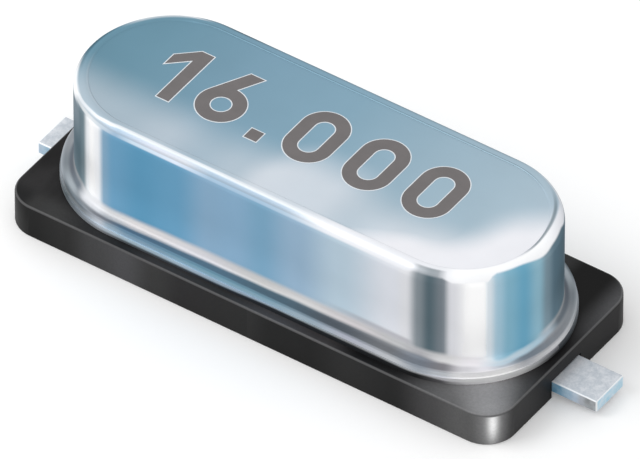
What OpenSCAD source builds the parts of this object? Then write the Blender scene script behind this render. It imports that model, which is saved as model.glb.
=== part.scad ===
// Two-lead quartz crystal unit in a low obround metal can on a black insulator plate,
// surface-mount form. Millimetres. +X runs along the length, +Y across the width, +Z up.
// The origin is at the middle of the plate's underside, which rests on the circuit board.

/* [Insulator plate] */
// Length of the black plate under the can
plate_length = 11.4; // [11.2:0.1:12.4]
// Width of the black plate
plate_width = 4.75; // [4.5:0.05:5.4]
// Thickness of the black plate
plate_thickness = 0.75; // [0.7:0.01:1]
// Radius of the plate's four upright corners
plate_corner = 0.65; // [0.3:0.05:1]
// Rounding along the plate's top edge
plate_edge = 0.06; // [0.03:0.01:0.12]
// Clearance between the leads and the slots and channels moulded in the plate
channel_clearance = 0.03; // [0.02:0.01:0.06]

/* [Can] */
// Length of the can outside its straight wall
can_length = 10.5; // [10.2:0.05:10.6]
// Width of the can outside its straight wall
can_width = 3.8; // [3.6:0.05:3.9]
// Height of the can's top above the plate
can_rise = 2.45; // [2.4:0.05:3.5]
// Thickness of the can's drawn sheet
can_sheet = 0.15; // [0.12:0.01:0.18]
// Outer radius of the rim between the wall and the top
rim_radius = 0.24; // [0.2:0.01:0.36]
// Width of the flat land between the rim and the sunk top panel
rim_land = 0.03; // [0.02:0.01:0.08]
// Depth to which the top panel is sunk below the rim
panel_drop = 0.02; // [0.01:0.005:0.04]
// Outer radius of the fillet where the wall turns out into the flange
foot_fillet = 0.13; // [0.08:0.01:0.16]
// Reach of the can's flange beyond its wall
flange_reach = 0.25; // [0.2:0.01:0.27]
// Rounding along the flange's upper edge
flange_edge = 0.03; // [0.01:0.01:0.05]

/* [Header] */
// Step by which the header's flange shows beyond the can's flange
header_step = 0.025; // [0.01:0.005:0.04]
// Thickness of the header's coined flange
header_flange = 0.14; // [0.1:0.01:0.2]
// Thickness of the header's sheet
header_sheet = 0.2; // [0.15:0.01:0.25]
// Height of the hollow pressed up under the header's middle
header_hollow = 0.2; // [0.16:0.01:0.25]
// Clearance between the raised middle of the header and the can's wall
header_clearance = 0.1; // [0.05:0.01:0.2]
// Rounding along the raised middle's upper edge
header_edge = 0.08; // [0.04:0.01:0.12]
// Inner radius of the two eyelets that hold the glass
eyelet_radius = 0.7; // [0.6:0.05:0.8]
// Wall of the two eyelets
eyelet_wall = 0.2; // [0.15:0.01:0.25]
// Depth of the dish in the glass around each lead
glass_dish = 0.03; // [0.01:0.01:0.05]

/* [Leads] */
// Distance between the two leads' centres in the header
lead_pitch = 4.88; // [4.7:0.02:5]
// Diameter of the round lead wire
wire_diameter = 0.43; // [0.4:0.01:0.46]
// Radius of the lead's bend, at the middle of the wire
bend_radius = 0.35; // [0.3:0.01:0.4]
// Width of the flattened foot
foot_width = 0.92; // [0.8:0.01:1.1]
// Thickness of the flattened foot
foot_thickness = 0.28; // [0.24:0.01:0.32]
// Height of the foot's underside above the plate's underside
foot_lift = 0.2; // [0.12:0.01:0.22]
// Rounding along the foot's long edges
foot_edge = 0.04; // [0.02:0.01:0.08]
// Length over which the round wire tapers into the foot
foot_taper = 0.35; // [0.25:0.05:0.6]
// Reach of the right foot beyond the plate
right_reach = 1; // [0.4:0.05:1.2]
// Reach of the left foot beyond the plate
left_reach = 0.5; // [0.4:0.05:1.2]
// Radius of the nail head inside the can
head_radius = 0.4; // [0.3:0.05:0.5]
// Thickness of the nail head
head_thickness = 0.12; // [0.08:0.01:0.16]
// Gap between the header and the underside of the nail head
head_gap = 0.08; // [0.05:0.01:0.15]

/* [Support springs] */
// Thickness of the spring's strip
clip_sheet = 0.08; // [0.06:0.01:0.1]
// Width of the spring's strip
clip_width = 0.9; // [0.8:0.05:1.2]
// Reach of the spring's foot behind the lead's centre
clip_heel = 0.35; // [0.25:0.05:0.5]
// Inner radius of the spring's bend
clip_bend = 0.08; // [0.05:0.01:0.12]
// Height of the spring's slotted leg above the nail head
clip_height = 1.1; // [0.9:0.05:1.25]
// Clearance between the quartz blank and each side of the slot
slot_clearance = 0.04; // [0.03:0.01:0.06]

/* [Quartz blank] */
// Length of the strip of quartz
blank_length = 7.8; // [7.4:0.1:8]
// Height of the strip of quartz, standing on its long edge
blank_height = 1.25; // [1.1:0.05:1.3]
// Thickness of the strip of quartz
blank_thickness = 0.18; // [0.12:0.01:0.22]
// Height of the blank's lower edge above the nail heads
blank_lift = 0.2; // [0.18:0.01:0.22]
// Length by which each end of the blank stands out through its spring
blank_overhang = 0.15; // [0.12:0.01:0.2]
// Length of each silver electrode's pad
electrode_length = 3.4; // [2.6:0.1:4]
// Height of each silver electrode's pad
electrode_height = 0.85; // [0.7:0.05:1]
// Height of the electrode's tail to its spring
tail_height = 0.3; // [0.2:0.05:0.4]
// Thickness of the silver film
film_thickness = 0.02; // [0.01:0.005:0.02]
// Radius of each dot of conductive adhesive
dot_radius = 0.33; // [0.28:0.01:0.38]

/* [Hidden] */

$fn = 72;
cut = 1;                                    // spare length of a cutting tool past a face

pin_x = lead_pitch / 2;
wire_radius = wire_diameter / 2;
straight = can_length - can_width;          // straight part of every obround outline
wall_out = can_width / 2;
wall_in = wall_out - can_sheet;
can_flange_out = wall_out + flange_reach;
header_out = can_flange_out + header_step;
header_middle = wall_in - header_clearance;

header_z = plate_thickness;
can_z = header_z + header_flange;
can_height = can_rise - header_flange;
header_height = header_hollow + header_sheet;
head_z = header_z + header_height + head_gap;
clip_z = head_z + head_thickness;
blank_z = clip_z + blank_lift;
blank_middle_z = blank_z + blank_height / 2;
clip_x = blank_length / 2 - blank_overhang; // outer face of the spring's leg

foot_middle_z = foot_lift + foot_thickness / 2;
bend_x = pin_x + bend_radius;
bend_z = foot_middle_z + bend_radius;
channel_width = foot_width + 2 * channel_clearance;
channel_top = foot_lift + foot_thickness + channel_clearance;
pocket_top = foot_middle_z + wire_radius + channel_clearance;

// A profile drawn from the centre line outward, swept round an obround outline.
module obround() {
    for (side = [0, 1])
        mirror([side, 0, 0])
            translate([straight / 2, 0, 0])
                rotate([0, 0, -90])
                    rotate_extrude(angle = 180)
                        children();
    translate([-straight / 2, 0, 0])
        rotate([90, 0, 90])
            linear_extrude(straight) {
                children();
                mirror([1, 0])
                    children();
            }
}

// A rectangle from the axis outward whose upper outer corner is rounded.
module rounded_step(width, height, radius) {
    square([width - radius, height]);
    square([width, height - radius]);
    translate([width - radius, height - radius])
        circle(radius);
}

// What a quarter circle leaves in the inner corner at the origin.
module corner_fillet(radius) {
    difference() {
        square(radius);
        translate([radius, radius])
            circle(radius);
    }
}

// A flat outline of two round ends, from one centre to the next along X.
module slot_outline(from, to, radius) {
    translate([from, 0])
        circle(radius);
    translate([from, -radius])
        square([to - from, 2 * radius]);
    translate([to, 0])
        circle(radius);
}

// One side's piece, drawn on the right and mirrored for the left.
module on_side(side) {
    mirror([side < 0 ? 1 : 0, 0, 0])
        children();
}

module plate_body() {
    long = plate_length / 2 - plate_corner;
    wide = plate_width / 2 - plate_corner;
    for (x = [0, 1], y = [0, 1])
        mirror([x, 0, 0])
            mirror([0, y, 0])
                translate([long, wide, 0])
                    rotate_extrude(angle = 90)
                        rounded_step(plate_corner, plate_thickness, plate_edge);
    for (side = [0, 1]) {
        mirror([0, side, 0])
            translate([-long, wide, 0])
                rotate([90, 0, 90])
                    linear_extrude(2 * long)
                        rounded_step(plate_corner, plate_thickness, plate_edge);
        mirror([side, 0, 0])
            translate([long, wide, 0])
                rotate([90, 0, 0])
                    linear_extrude(2 * wide)
                        rounded_step(plate_corner, plate_thickness, plate_edge);
    }
    translate([-long, -wide, 0])
        cube([2 * long, 2 * wide, plate_thickness]);
}

// Room for one lead: a hole for the wire, a pocket for its bend, a channel for its foot.
module lead_channel() {
    wire_slot = wire_radius + 2 * channel_clearance;
    drift = bend_radius - sqrt(bend_radius ^ 2 - (bend_z - pocket_top) ^ 2);
    translate([0, 0, -cut])
        linear_extrude(plate_thickness + 2 * cut)
            slot_outline(pin_x, pin_x + drift + channel_clearance, wire_slot);
    translate([0, 0, -cut])
        linear_extrude(cut + pocket_top)
            slot_outline(pin_x, bend_x + foot_taper, wire_slot);
    inner_end = bend_x - 2 * channel_clearance + channel_width / 2;
    translate([0, 0, -cut])
        linear_extrude(cut + channel_top)
            slot_outline(inner_end, plate_length / 2 + cut, channel_width / 2);
}

module insulator() {
    color("#262628")
        difference() {
            plate_body();
            for (side = [-1, 1])
                on_side(side)
                    lead_channel();
        }
}

module header_profile() {
    difference() {
        union() {
            square([header_out, header_flange]);
            rounded_step(header_middle, header_height, header_edge);
        }
        translate([0, -cut])
            square([header_middle - header_sheet, cut + header_hollow]);
    }
}

module header() {
    color("#b4bcc6")
        translate([0, 0, header_z])
            difference() {
                union() {
                    obround()
                        header_profile();
                    for (side = [-1, 1])
                        translate([side * pin_x, 0, 0])
                            cylinder(r = eyelet_radius + eyelet_wall, h = header_height - header_sheet / 2);
                }
                for (side = [-1, 1])
                    translate([side * pin_x, 0, -cut])
                        cylinder(r = eyelet_radius, h = header_height + 2 * cut);
            }
}

// The can's outer outline: rim, wall, fillet and flange.
module can_outside() {
    rounded_step(wall_out, can_height, rim_radius);
    translate([wall_out, can_sheet])
        corner_fillet(foot_fillet);
    rounded_step(can_flange_out, can_sheet, flange_edge);
}

// The room inside the can, one sheet thickness in from the outside.
module can_inside() {
    bend = foot_fillet + can_sheet;
    rounded_step(wall_in, can_height - can_sheet, rim_radius - can_sheet);
    translate([0, -cut])
        square([wall_in, cut + bend]);
    translate([wall_in, 0])
        corner_fillet(bend);
}

module can() {
    panel = wall_out - rim_radius - rim_land;
    color("#a9bccb")
        translate([0, 0, can_z])
            obround()
                difference() {
                    can_outside();
                    difference() {
                        can_inside();
                        translate([0, can_height - can_sheet - panel_drop])
                            square([panel, can_sheet]);
                    }
                    translate([0, can_height - panel_drop])
                        square([panel, cut]);
                }
}

module glass_seal(side) {
    middle = (wire_radius + eyelet_radius) / 2;
    half = (eyelet_radius - wire_radius) / 2;
    dish = (half ^ 2 + glass_dish ^ 2) / (2 * glass_dish);
    color("#2f5d50")
        translate([side * pin_x, 0, header_z])
            rotate_extrude()
                difference() {
                    translate([wire_radius, 0])
                        square([2 * half, header_height]);
                    translate([middle, header_height + dish - glass_dish])
                        circle(dish, $fn = 360);
                    translate([middle, glass_dish - dish])
                        circle(dish, $fn = 360);
                }
}

// The flattened foot: rounded along its edges and at its inner end, cut off square at its tip.
module lead_foot(reach) {
    inner_end = bend_x;
    tip = plate_length / 2 + reach;
    intersection() {
        translate([inner_end, 0, foot_middle_z])
            rotate([90, 0, 90])
                linear_extrude(tip - inner_end)
                    for (y = [-1, 1], z = [-1, 1])
                        mirror([y < 0 ? 1 : 0, 0])
                            mirror([0, z < 0 ? 1 : 0])
                                rounded_step(foot_width / 2, foot_thickness / 2, foot_edge);
        linear_extrude(plate_thickness)
            slot_outline(inner_end + foot_width / 2, tip + cut, foot_width / 2);
    }
}

module lead(side, reach) {
    color("#c3cad3")
        on_side(side) {
            translate([pin_x, 0, head_z])
                cylinder(r = head_radius, h = head_thickness);
            translate([pin_x, 0, bend_z])
                cylinder(r = wire_radius, h = head_z + head_thickness / 2 - bend_z);
            translate([bend_x, 0, bend_z])
                rotate([90, 0, 0])
                    rotate([0, 0, 180])
                        rotate_extrude(angle = 90)
                            translate([bend_radius, 0])
                                circle(wire_radius);
            translate([bend_x, 0, foot_middle_z])
                rotate([0, 90, 0])
                    cylinder(r1 = wire_radius, r2 = foot_thickness / 4, h = foot_taper);
            lead_foot(reach);
        }
}

// Side view of the spring: a foot on the nail head, a bend and an upright leg.
module clip_profile() {
    heel = pin_x - clip_heel;
    bend_out = clip_bend + clip_sheet;
    translate([heel, 0])
        square([clip_x - bend_out - heel, clip_sheet]);
    translate([clip_x - clip_sheet, bend_out])
        square([clip_sheet, clip_height - bend_out]);
    translate([clip_x - bend_out, bend_out])
        intersection() {
            difference() {
                circle(bend_out);
                circle(clip_bend);
            }
            translate([0, -bend_out])
                square(bend_out);
        }
}

module clip_solid() {
    slot = blank_thickness + 2 * film_thickness + 2 * slot_clearance;
    difference() {
        translate([0, clip_width / 2, clip_z])
            rotate([90, 0, 0])
                linear_extrude(clip_width)
                    clip_profile();
        translate([clip_x - clip_sheet - clip_bend, -slot / 2, blank_z])
            cube([2 * clip_sheet + clip_bend + cut, slot, clip_height]);
    }
}

module clip(side) {
    color("#d2b26a")
        on_side(side)
            clip_solid();
}

module blank_solid() {
    translate([-blank_length / 2, -blank_thickness / 2, blank_z])
        cube([blank_length, blank_thickness, blank_height]);
}

module quartz_blank() {
    color("#dfeaf0")
        blank_solid();
}

// One silver film on the front face: a pad in the middle and a tail to the right-hand end.
module film_solid() {
    tail = blank_length / 2 - blank_overhang / 2;
    translate([0, -blank_thickness / 2, blank_middle_z])
        rotate([90, 0, 0])
            linear_extrude(film_thickness) {
                square([electrode_length, electrode_height], center = true);
                translate([0, -tail_height / 2])
                    square([tail, tail_height]);
            }
}

module electrode(side) {
    color("#d9dcdf")
        rotate([0, 0, side > 0 ? 0 : 180])
            film_solid();
}

// A dot of adhesive over the slot, kept clear of what it holds.
module adhesive(side) {
    color("#8f9297")
        difference() {
            translate([side * (clip_x - clip_sheet / 2), 0, blank_middle_z])
                sphere(dot_radius);
            blank_solid();
            clip(side);
            electrode(side);
        }
}

insulator();
header();
can();
glass_seal(-1);  // glass_seal_left
glass_seal(1);  // glass_seal_right
lead(-1, left_reach);  // lead_left
lead(1, right_reach);  // lead_right
clip(-1);  // clip_left
clip(1);  // clip_right
quartz_blank();
electrode(1);  // electrode_front
electrode(-1);  // electrode_back
adhesive(-1);  // adhesive_left
adhesive(1);  // adhesive_right
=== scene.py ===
import math

import bmesh
import bpy
from mathutils import Matrix, Vector


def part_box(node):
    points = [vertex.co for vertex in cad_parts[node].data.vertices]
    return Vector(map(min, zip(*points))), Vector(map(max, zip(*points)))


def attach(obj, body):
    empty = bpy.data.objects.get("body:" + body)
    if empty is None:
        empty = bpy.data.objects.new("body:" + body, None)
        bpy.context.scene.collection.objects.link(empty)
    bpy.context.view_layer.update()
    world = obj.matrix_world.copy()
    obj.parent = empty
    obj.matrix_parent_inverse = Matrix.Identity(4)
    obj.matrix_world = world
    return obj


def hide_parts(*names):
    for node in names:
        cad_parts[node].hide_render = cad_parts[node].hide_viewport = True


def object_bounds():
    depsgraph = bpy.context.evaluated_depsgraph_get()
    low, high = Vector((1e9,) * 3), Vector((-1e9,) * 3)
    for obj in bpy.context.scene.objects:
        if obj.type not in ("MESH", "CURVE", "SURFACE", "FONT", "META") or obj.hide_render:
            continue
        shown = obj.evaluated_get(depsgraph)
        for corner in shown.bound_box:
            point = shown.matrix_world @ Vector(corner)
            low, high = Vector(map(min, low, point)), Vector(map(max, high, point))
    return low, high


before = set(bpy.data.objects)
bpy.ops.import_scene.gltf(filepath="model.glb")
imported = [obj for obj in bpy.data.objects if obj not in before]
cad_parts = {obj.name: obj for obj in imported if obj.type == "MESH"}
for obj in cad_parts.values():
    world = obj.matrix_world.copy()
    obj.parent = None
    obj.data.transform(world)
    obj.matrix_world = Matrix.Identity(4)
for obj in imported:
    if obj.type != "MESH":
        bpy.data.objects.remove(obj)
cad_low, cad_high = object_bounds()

# Looks of a low surface-mount quartz crystal unit: a drawn obround can welded to a header,
# on a black insulator plate with one flattened lead at each end. Lengths are in metres,
# written as millimetres times MM, and angles in degrees. +X runs along the part, +Z is up.

MM = 0.001
WHITE = (1.0, 1.0, 1.0, 1.0)

# -------- sizes, from the frame

plate_low, plate_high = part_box("insulator")
can_low, can_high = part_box("can")
header_low, header_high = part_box("header")
seal_low, seal_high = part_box("glass_seal_right")
lead_low, lead_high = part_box("lead_right")

PLATE_CORNER = 0.65 * MM
PLATE_EDGE = 0.06 * MM
PLATE_FOOT_EDGE = 0.02 * MM
SHEET = 0.15 * MM
RIM_RADIUS = 0.24 * MM
RIM_LAND = 0.03 * MM
PANEL_DROP = 0.02 * MM
PANEL_SLOPE = 0.03 * MM
FOOT_FILLET = 0.13 * MM
FLANGE_REACH = 0.25 * MM
FLANGE_EDGE = 0.03 * MM
HEADER_SHEET = 0.2 * MM
HEADER_CLEARANCE = 0.1 * MM
HEADER_EDGE = 0.08 * MM
EYELET_WALL = 0.2 * MM
WIRE_DIAMETER = 0.43 * MM
BEND_RADIUS = 0.35 * MM
FOOT_THICKNESS = 0.28 * MM
FOOT_EDGE = 0.04 * MM
HEAD_THICKNESS = 0.12 * MM
CUT_EDGE = 0.02 * MM
TAPER = 0.35 * MM
CLEARANCE = 0.03 * MM
DIGIT_HEIGHT = 1.53 * MM
DIGIT_WIDTH = 1.0 * MM
DIGIT_GAP = 0.37 * MM
MARKING_X = -0.3 * MM
MARKING_Y = 0.14 * MM
STROKE = 0.28 * MM
SIX_LEAN = 28
INK = 0.008 * MM
PALE_EDGE = 0.022 * MM
MARKING = "16.000"

half_straight = can_high.x - can_high.y
wall_radius = can_high.y - FLANGE_REACH
inner_radius = wall_radius - SHEET
header_flange_top = can_low.z
header_middle = inner_radius - HEADER_CLEARANCE
pin_x = (seal_low.x + seal_high.x) / 2
eyelet_radius = (seal_high.x - seal_low.x) / 2
head_radius = pin_x - lead_low.x
foot_width = lead_high.y - lead_low.y
foot_middle = lead_low.z + FOOT_THICKNESS / 2
bend_x = pin_x + BEND_RADIUS
bend_z = foot_middle + BEND_RADIUS
half_turn = 2 * half_straight + math.pi * wall_radius

QUARTER_STEPS = 32
SIDE_STEPS = 12
CIRCLE_STEPS = 64
SLOT_STEPS = 24
SHARP_ANGLE = 35
ALMOST_ROUND = 0.999


# -------- mesh helpers

def arc(centre, radius, start, end, steps):
    """Points of an arc in a plane, from start to end in degrees."""
    points = []
    for i in range(steps + 1):
        angle = math.radians(start + (end - start) * i / steps)
        points.append((centre[0] + radius * math.cos(angle), centre[1] + radius * math.sin(angle)))
    return points


def ease(share):
    """This share from 0 to 1, but starting and ending gently."""
    return share * share * (3 - 2 * share)


def obround_ring(radius):
    """A closed ring round the can's outline at this radius: (x, y, share of the half turn)."""
    angles = [math.pi / 2 * i / QUARTER_STEPS for i in range(QUARTER_STEPS)]
    ring = []
    along = 0.0
    for side in (1, -1):
        for angle in angles:
            ring.append((-side * (half_straight + radius * math.cos(angle)),
                         -side * radius * math.sin(angle), along + angle * wall_radius))
        along += math.pi / 2 * wall_radius
        for i in range(SIDE_STEPS):
            share = i / SIDE_STEPS
            ring.append((-side * half_straight * (1 - 2 * share), -side * radius,
                         along + 2 * half_straight * share))
        along += 2 * half_straight
        for angle in angles:
            ring.append((side * (half_straight + radius * math.sin(angle)),
                         -side * radius * math.cos(angle), along + angle * wall_radius))
        along += math.pi / 2 * wall_radius
    return [(x, y, u / half_turn) for x, y, u in ring]


def rounded_ring(half_x, half_y, radius, steps):
    """A closed ring round a rectangle with rounded corners: (x, y)."""
    ring = []
    for quarter, (sx, sy) in enumerate(((1, 1), (-1, 1), (-1, -1), (1, -1))):
        centre = (sx * (half_x - radius), sy * (half_y - radius))
        ring += arc(centre, radius, 90 * quarter, 90 * quarter + 90, steps)
    return ring


def add_object(name, data):
    """A new object, linked into the scene."""
    made = bpy.data.objects.new(name, data)
    bpy.context.scene.collection.objects.link(made)
    return made


def evaluated_mesh(item):
    """A mesh of this object as its modifiers or its curve settings leave it."""
    graph = bpy.context.evaluated_depsgraph_get()
    return bpy.data.meshes.new_from_object(item.evaluated_get(graph))


def finish_piece(name, mesh, material, slot, *nodes):
    """Links a finished mesh as a piece that rides on the part's one body, in these nodes' place."""
    mesh.shade_smooth()
    mesh.set_sharp_from_angle(angle=math.radians(SHARP_ANGLE))
    piece = add_object(name, mesh)
    weighted = piece.modifiers.new("face_weighted_normals", "WEIGHTED_NORMAL")
    weighted.keep_sharp = True
    weighted.weight = 100
    mesh.materials.clear()
    mesh.materials.append(material)
    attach(piece, "root")
    if nodes:
        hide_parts(*nodes)


def loft(name, rings, uvs=None):
    """A closed mesh through rings of equal length, each a list of (x, y, z).

    uvs holds a place along for each point of a ring and a place across for each ring.
    """
    shape = bmesh.new()
    layers = [[shape.verts.new(point) for point in ring] for ring in rings]
    count = len(rings[0])
    uv_layer = shape.loops.layers.uv.new("Sweep") if uvs else None
    along, across = uvs or ((), ())
    for row in range(len(layers) - 1):
        for i in range(count):
            j = (i + 1) % count
            face = shape.faces.new((layers[row][i], layers[row][j],
                                    layers[row + 1][j], layers[row + 1][i]))
            if uv_layer:
                next_along = along[j] if j else 2.0
                corners = ((along[i], across[row]), (next_along, across[row]),
                           (next_along, across[row + 1]), (along[i], across[row + 1]))
                for corner, place in zip(face.loops, corners):
                    corner[uv_layer].uv = place
    for layer, row in ((layers[0], 0), (layers[-1], -1)):
        face = shape.faces.new(layer)
        if uv_layer:
            for corner in face.loops:
                corner[uv_layer].uv = (0.0, across[row])
    bmesh.ops.recalc_face_normals(shape, faces=shape.faces)
    mesh = bpy.data.meshes.new(name)
    shape.to_mesh(mesh)
    shape.free()
    return mesh


def obround_sweep(name, profile):
    """A solid with this (radius, height) profile swept round the can's outline."""
    across = [0.0]
    for (r0, z0), (r1, z1) in zip(profile, profile[1:]):
        across.append(across[-1] + math.hypot(r1 - r0, z1 - z0) / MM)
    rings = [[(x, y, z) for x, y, _ in obround_ring(radius)] for radius, z in profile]
    along = [u for _, _, u in obround_ring(wall_radius)]
    return loft(name, rings, uvs=(along, across))


def obround_outline(radius):
    """The can's outline at this radius, as (x, y) points."""
    return [(x, y) for x, y, _ in obround_ring(radius)]


def circle_at_pin(side, radius):
    """A circle about the pin on this side, as (x, y) points."""
    return arc((side * pin_x, 0), radius, 0, 360 - 360 / CIRCLE_STEPS, CIRCLE_STEPS - 1)


def prism(outline, low, high):
    """A closed upright prism on an outline of (x, y) points."""
    return loft("prism", [[(x, y, low) for x, y in outline], [(x, y, high) for x, y in outline]])


def stadium(start, end, radius, side):
    """A flat outline of two round ends, from one centre to the next along X, on either side."""
    outline = arc((start, 0), radius, 90, 270, SLOT_STEPS)
    outline += arc((end, 0), radius, -90, 90, SLOT_STEPS)
    return [(side * x, y) for x, y in outline]


def combine(mesh, operation, tools):
    """The mesh joined with, or cut by, each tool mesh in turn."""
    body = add_object("work", mesh)
    helpers = []
    for tool_mesh in tools:
        tool = add_object("tool", tool_mesh)
        helpers.append(tool)
        join = body.modifiers.new("join", "BOOLEAN")
        join.operation = operation
        join.object = tool
        join.solver = "EXACT"
    result = evaluated_mesh(body)
    for helper in helpers + [body]:
        bpy.data.objects.remove(helper)
    return result


# -------- material helpers

def linear(tone):
    """A colour written as it looks on screen, as the renderer's own linear values."""
    values = [int(tone[i:i + 2], 16) / 255 for i in (1, 3, 5)]
    scaled = [v / 12.92 if v <= 0.04045 else ((v + 0.055) / 1.055) ** 2.4 for v in values]
    return (*scaled, 1.0)


class Look:
    """A material under construction: nodes are made and wired by short calls."""

    def __init__(self, name):
        self.material = bpy.data.materials.new(name)
        self.material.use_nodes = True
        self.tree = self.material.node_tree
        self.shader = self.tree.nodes["Principled BSDF"]

    def node(self, kind, inputs=None, **settings):
        """A new node, with inputs by name or number and with these settings."""
        made = self.tree.nodes.new(kind)
        for key, value in settings.items():
            setattr(made, key, value)
        for key, value in (inputs or {}).items():
            self.put(made.inputs[key], value)
        return made

    def put(self, socket, value):
        """Links an output to this input, or sets the input to a constant."""
        if isinstance(value, bpy.types.NodeSocket):
            self.tree.links.new(value, socket)
        else:
            socket.default_value = value

    def set(self, **values):
        """Sets the shader's inputs; an underscore stands for a space."""
        for key, value in values.items():
            self.put(self.shader.inputs[key.replace("_", " ")], value)

    def math(self, operation, a, b=0.0, c=0.0):
        """The result of one Math node."""
        return self.node("ShaderNodeMath", {0: a, 1: b, 2: c}, operation=operation).outputs[0]

    def absolute(self, value):
        """This value without its sign."""
        return self.math("ABSOLUTE", value)

    def product(self, first, *others):
        """All these values multiplied together."""
        for other in others:
            first = self.math("MULTIPLY", first, other)
        return first

    def scaled(self, value, factor, added):
        """value * factor + added."""
        return self.math("MULTIPLY_ADD", value, factor, added)

    def parts(self, vector):
        """The three parts of a vector."""
        outputs = self.node("ShaderNodeSeparateXYZ", {0: vector}).outputs
        return outputs["X"], outputs["Y"], outputs["Z"]

    def position(self):
        """Object coordinates in millimetres."""
        coordinates = self.node("ShaderNodeTexCoord").outputs["Object"]
        made = self.node("ShaderNodeVectorMath", {0: coordinates, "Scale": 1 / MM},
                         operation="SCALE")
        return made.outputs["Vector"]

    def normal(self):
        """The three parts of the surface's direction."""
        return self.parts(self.node("ShaderNodeNewGeometry").outputs["Normal"])

    def fade(self, value, low, high, curve="SMOOTHSTEP"):
        """0 below low and 1 above high, or the reverse where low is the larger."""
        found = self.node("ShaderNodeMapRange", {"Value": value, "From Min": low, "From Max": high},
                          interpolation_type=curve)
        return found.outputs["Result"]

    def window(self, value, rise, full, fade, end):
        """1 between full and fade, and 0 before rise and past end."""
        return self.product(self.fade(value, rise, full), self.fade(value, end, fade))

    def ramp(self, value, stops, curve="EASE"):
        """Colours along a value from 0 to 1. stops holds (place, colour)."""
        made = self.node("ShaderNodeValToRGB", {"Fac": value})
        band = made.color_ramp
        band.interpolation = curve
        while len(band.elements) < len(stops):
            band.elements.new(1.0)
        for element, (place, tone) in zip(band.elements, stops):
            element.position = place
            element.color = linear(tone)
        return made.outputs["Color"]

    def mix(self, factor, a, b, blend="MIX"):
        """Colour a where factor is 0 and b where it is 1; each is an output or written out."""
        made = self.node("ShaderNodeMix", data_type="RGBA", blend_type=blend)
        self.put(made.inputs["Factor"], factor)
        for key, tone in (("A", a), ("B", b)):
            self.put(made.inputs[key], linear(tone) if isinstance(tone, str) else tone)
        return made.outputs["Result"]

    def tint(self, tone, other):
        """Two colours multiplied together."""
        return self.mix(1.0, tone, other, "MULTIPLY")

    def noise(self, vector, scale, detail, roughness):
        """A cloudy value about 0.5, with roughly this many clouds to the millimetre."""
        made = self.node("ShaderNodeTexNoise", {"Vector": vector, "Scale": scale, "Detail": detail,
                                                "Roughness": roughness})
        return made.outputs["Fac"]

    def bump(self, height, strength, distance):
        """The surface's direction with this height pressed into it."""
        made = self.node("ShaderNodeBump", {"Height": height, "Strength": strength,
                                            "Distance": distance})
        return made.outputs["Normal"]


# -------- materials

# Places across the can's profile, in millimetres from the panel's edge outwards and down.
arc_start = (PANEL_SLOPE + RIM_LAND) / MM
arc_length = math.pi / 2 * RIM_RADIUS / MM
wall_length = (can_high.z - can_low.z - RIM_RADIUS - SHEET - FOOT_FILLET) / MM
wall_end = arc_start + arc_length + wall_length
fillet_end = wall_end + math.pi / 2 * FOOT_FILLET / MM
land_end = fillet_end + (FLANGE_REACH - FOOT_FILLET - FLANGE_EDGE) / MM
side_end = land_end + (math.pi / 2 * FLANGE_EDGE + SHEET - FLANGE_EDGE) / MM


def on_arc(degrees):
    """Place across the rim's arc where it slopes like this: 90 is its top and 0 its outside."""
    return arc_start + arc_length * (90 - degrees) / 90


def on_left(degrees):
    """Place along half the outline at this bearing of the left end; -90 is the front."""
    return math.radians(degrees + 180) * wall_radius / half_turn


def on_front(x):
    """Place along half the outline at this x of the front, in millimetres."""
    return on_left(-90) + (x * MM + half_straight) / half_turn


def on_right(degrees):
    """Place along half the outline at this bearing of the right end; -90 is the front."""
    return 1 + math.radians(degrees) * wall_radius / half_turn


def bands(start, left, front, right, end):
    """Stops for a ramp along half of the can's outline, from tip to tip by way of the front.

    The round ends are given as (bearing, tone) and the straight front as (x, tone).
    """
    return ((0.0, start), *[(on_left(bearing), tone) for bearing, tone in left],
            *[(on_front(x), tone) for x, tone in front],
            *[(on_right(bearing), tone) for bearing, tone in right], (1.0, end))


# Tones are written as they look on screen. The colour tables below are painted light: reflections,
# highlights and shade drawn into the colour of the can, header, plate and leads. In RIM_DRIFT,
# FOOT_SHIFT and the tables of the rim's painted shade and the panel's painted highlight, a grey
# stands for an amount: black for none and white for all. The tables of the panel, header and
# plate run along the front from left to right, and LEAD_SIDE outwards from the plate.

# Painted reflections round the wall: upright bands of blue, white and dark slate, tip to tip by way
# of the front.
WALL_BANDS = bands(
    start="#8298a4",
    left=((-171, "#657c89"), (-156, "#5f737e"), (-145, "#71808a"), (-125, "#63767f"),
          (-119, "#7c8d95"), (-114, "#eceff2"), (-110, "#ffffff"), (-104, "#eef0f3"),
          (-99, "#84a6bf"), (-92, "#6c9dbd")),
    front=((-2.8, "#5f97b8"), (-2.0, "#689cbc"), (-1.2, "#87a8c2"), (-0.6, "#88abc6"),
           (0.0, "#7ca5c0"), (0.8, "#96b2c9"), (1.8, "#b5c8d5"), (3.0, "#dadde4")),
    right=((-91, "#dcdde1"), (-83, "#828b91"), (-76, "#55666e"), (-68, "#767f86"),
           (-63, "#dbdce1"), (-51, "#ffffff"), (-45, "#ffffff"), (-41, "#dbe5ec"),
           (-36, "#a6c7d8"), (-29, "#84b4c9"), (-19, "#6faac5"), (-8, "#93bccd")),
    end="#8298a4")

# Painted reflection across the top panel: cool blue at the left, paler to the right.
PANEL_TONES = (
    (0.0, "#678d9f"), (0.12, "#6c91a3"), (0.3, "#7b9caf"), (0.5, "#85a5b7"),
    (0.68, "#98b1c0"), (0.85, "#a5bac7"), (1.0, "#b4c4d0"),
)

# How much painted highlight lies along the top panel's front edge, from left to right.
PANEL_HIGHLIGHT = (
    (0.05, "#a4a4a4"), (0.19, "#9b9b9b"), (0.27, "#acacac"), (0.35, "#8e8e8e"),
    (0.42, "#a4a4a4"), (0.475, "#d2d2d2"), (0.58, "#c8c8c8"), (0.66, "#a2a2a2"),
    (0.74, "#c4c4c4"), (0.85, "#f0f0f0"),
)

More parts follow.
